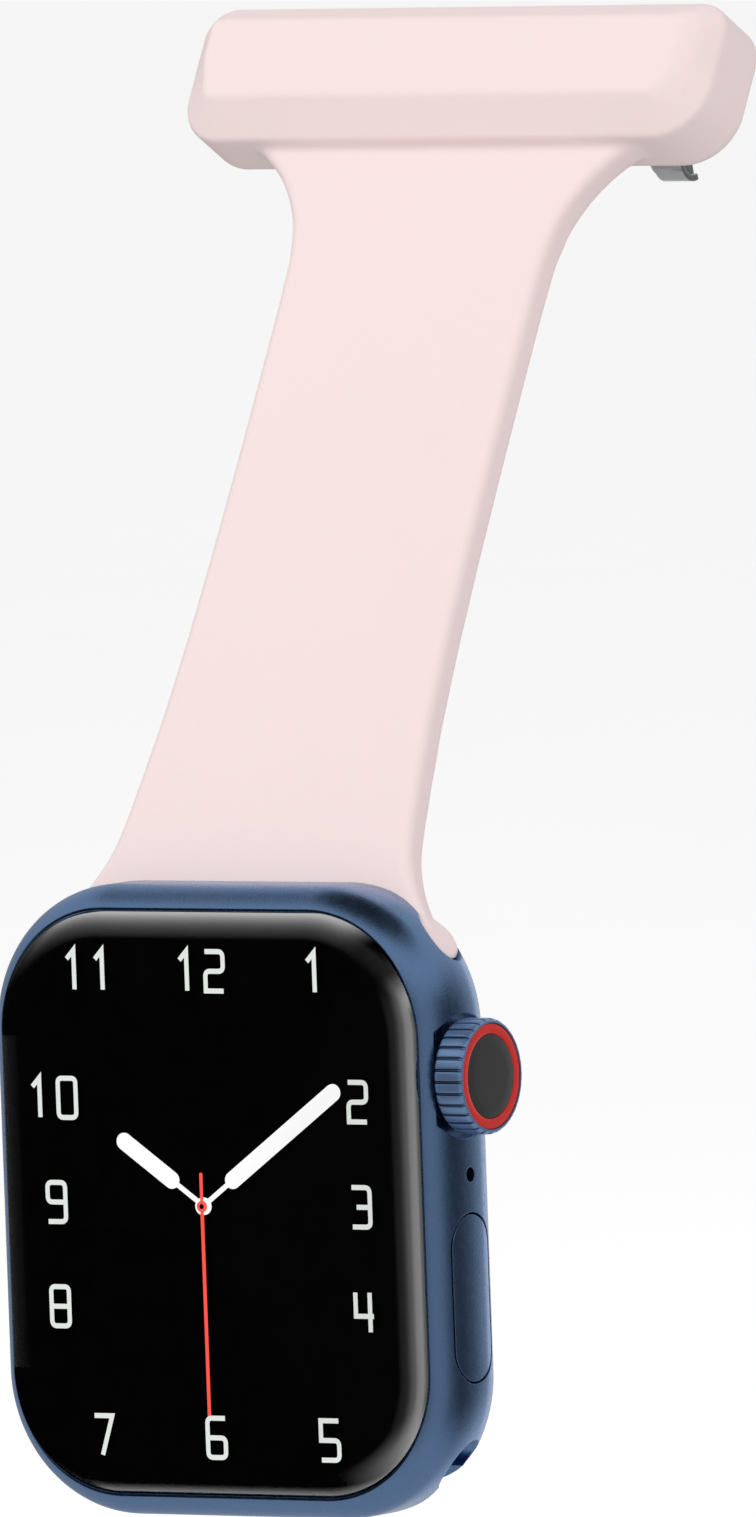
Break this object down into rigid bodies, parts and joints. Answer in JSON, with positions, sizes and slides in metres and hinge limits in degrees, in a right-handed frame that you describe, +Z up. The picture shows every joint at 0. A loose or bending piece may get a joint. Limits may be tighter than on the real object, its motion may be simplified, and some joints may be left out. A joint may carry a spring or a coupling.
{
  "type": "fob watch",
  "caption": "Fob watch: a rounded display watch with a side crown and a side button, hung by a soft strap that leans back from a brooch bar with a hinged safety pin.",
  "frame": {"origin": "centre of the raised pad on the pin base plate, at the middle of the brooch bar back face", "axes": "+X along the bar, towards the crown side of the watch; -Y is the way the display faces; +Z up along the height of the watch case. The bar and strap lean back by 29.4 degrees about X."},
  "size_m": [0.0446, 0.0454, 0.1055],
  "materials": {
    "silicone_pink": "soft matt silicone rubber",
    "anodised_aluminium": "fine blasted, dark blue anodised",
    "stainless_steel": "satin",
    "black_glass": "polished, tinted by the black display behind it",
    "lens_glass": "polished, near black",
    "black_rubber": "matt",
    "display": "black when unlit",
    "hand_white": "stands in for a white part of the lit image",
    "hand_red": "stands in for a red part of the lit image",
    "red_enamel": "red ring",
    "dark_grey_polymer": "dark grey",
    "battery_foil": "satin foil",
    "circuit_board": "solder mask",
    "copper": "copper, enamelled",
    "back_ceramic": "polished ceramic",
    "magnet_nickel": "nickel plated"
  },
  "bodies": {
    "fob": {"bar_cover": "silicone_pink", "bar_core": "dark_grey_polymer", "pin_base_plate": "stainless_steel", "rivet_left": "stainless_steel", "rivet_right": "stainless_steel", "pin_bracket": "stainless_steel", "pin_axle": "stainless_steel", "catch_housing": "stainless_steel", "fob_strap": "silicone_pink"},
    "strap_end": {"lug_core": "dark_grey_polymer", "latch_spring": "stainless_steel"},
    "latch": {"lug_latch": "stainless_steel"},
    "watch": {"watch_case": "anodised_aluminium", "front_crystal": "black_glass", "crystal_gasket": "black_rubber", "display_panel": "display", "battery": "battery_foil", "logic_board": "circuit_board", "haptic_motor": "stainless_steel", "speaker_module": "dark_grey_polymer", "microphone": "stainless_steel", "crown_bushing": "stainless_steel", "crown_seal": "black_rubber", "crown_sensor": "dark_grey_polymer", "crown_switch": "copper", "side_button_switch": "copper", "back_crystal": "back_ceramic", "sensor_lens": "lens_glass", "sensor_board": "circuit_board", "charging_coil": "copper", "charging_magnet": "magnet_nickel", "release_spring_upper": "stainless_steel", "release_spring_lower": "stainless_steel"},
    "hour": {"hour_hand": "hand_white"},
    "minute": {"minute_hand": "hand_white"},
    "second": {"second_hand": "hand_red"},
    "crown_stem": {"crown_thrust_plate": "stainless_steel"},
    "crown": {"crown_knob": "anodised_aluminium", "crown_ring": "red_enamel", "crown_cap": "dark_grey_polymer", "crown_shaft": "stainless_steel", "crown_retainer": "stainless_steel"},
    "side_button": {"side_button": "anodised_aluminium"},
    "release_upper": {"release_button_upper": "anodised_aluminium"},
    "release_lower": {"release_button_lower": "anodised_aluminium"},
    "needle": {"pin_needle": "stainless_steel"},
    "lock": {"catch_lock": "stainless_steel"}
  },
  "joints": [
    {"name": "strap_bend", "type": "hinge", "parent": "fob", "child": "strap_end", "pos_m": [0, -0.01577, -0.02096], "axis": [-1, 0, 0], "range_deg": [-18, 50], "deforming": ["fob_strap"]},
    {"name": "watch_slide", "type": "slide", "parent": "strap_end", "child": "watch", "axis": [1, 0, 0], "range_m": [0, 0.017]},
    {"name": "latch_press", "type": "slide", "parent": "strap_end", "child": "latch", "axis": [0, 0.4909, 0.8712], "range_m": [0, 0.0004], "stiffness_N_per_m": 5, "deforming": ["latch_spring"]},
    {"name": "minute_turn", "type": "hinge", "parent": "watch", "child": "minute", "pos_m": [-0.0006, -0.042, -0.0757], "axis": [0, 1, 0], "continuous": true},
    {"name": "hour_turn", "type": "hinge", "parent": "watch", "child": "hour", "pos_m": [-0.0006, -0.042, -0.0757], "axis": [0, 1, 0], "continuous": true},
    {"name": "second_turn", "type": "hinge", "parent": "watch", "child": "second", "pos_m": [-0.0006, -0.042, -0.0757], "axis": [0, 1, 0], "continuous": true},
    {"name": "crown_press", "type": "slide", "parent": "watch", "child": "crown_stem", "axis": [-1, 0, 0], "range_m": [0, 0.0003], "stiffness_N_per_m": 60},
    {"name": "crown_turn", "type": "hinge", "parent": "crown_stem", "child": "crown", "pos_m": [0.0189, -0.03763, -0.06655], "axis": [1, 0, 0], "continuous": true},
    {"name": "side_button_press", "type": "slide", "parent": "watch", "child": "side_button", "axis": [-1, 0, 0], "range_m": [0, 0.00025], "stiffness_N_per_m": 20},
    {"name": "release_upper_press", "type": "slide", "parent": "watch", "child": "release_upper", "axis": [0, -1, 0], "range_m": [0, 0.0004], "stiffness_N_per_m": 5, "deforming": ["release_spring_upper"]},
    {"name": "release_lower_press", "type": "slide", "parent": "watch", "child": "release_lower", "axis": [0, -1, 0], "range_m": [0, 0.0004], "stiffness_N_per_m": 5, "deforming": ["release_spring_lower"]},
    {"name": "needle_swing", "type": "hinge", "parent": "fob", "child": "needle", "pos_m": [-0.015, 0.00074, -0.00357], "axis": [0, 0.4909, 0.8712], "range_deg": [0, 50]},
    {"name": "lock_turn", "type": "hinge", "parent": "fob", "child": "lock", "pos_m": [0.01537, 0.00074, -0.00357], "axis": [1, 0, 0], "range_deg": [0, 90]}
  ],
  "couplings": [
    {"joint": "hour_turn", "follows": "minute_turn", "ratio": 0.083333},
    {"joint": "second_turn", "follows": "minute_turn", "ratio": 60}
  ]
}
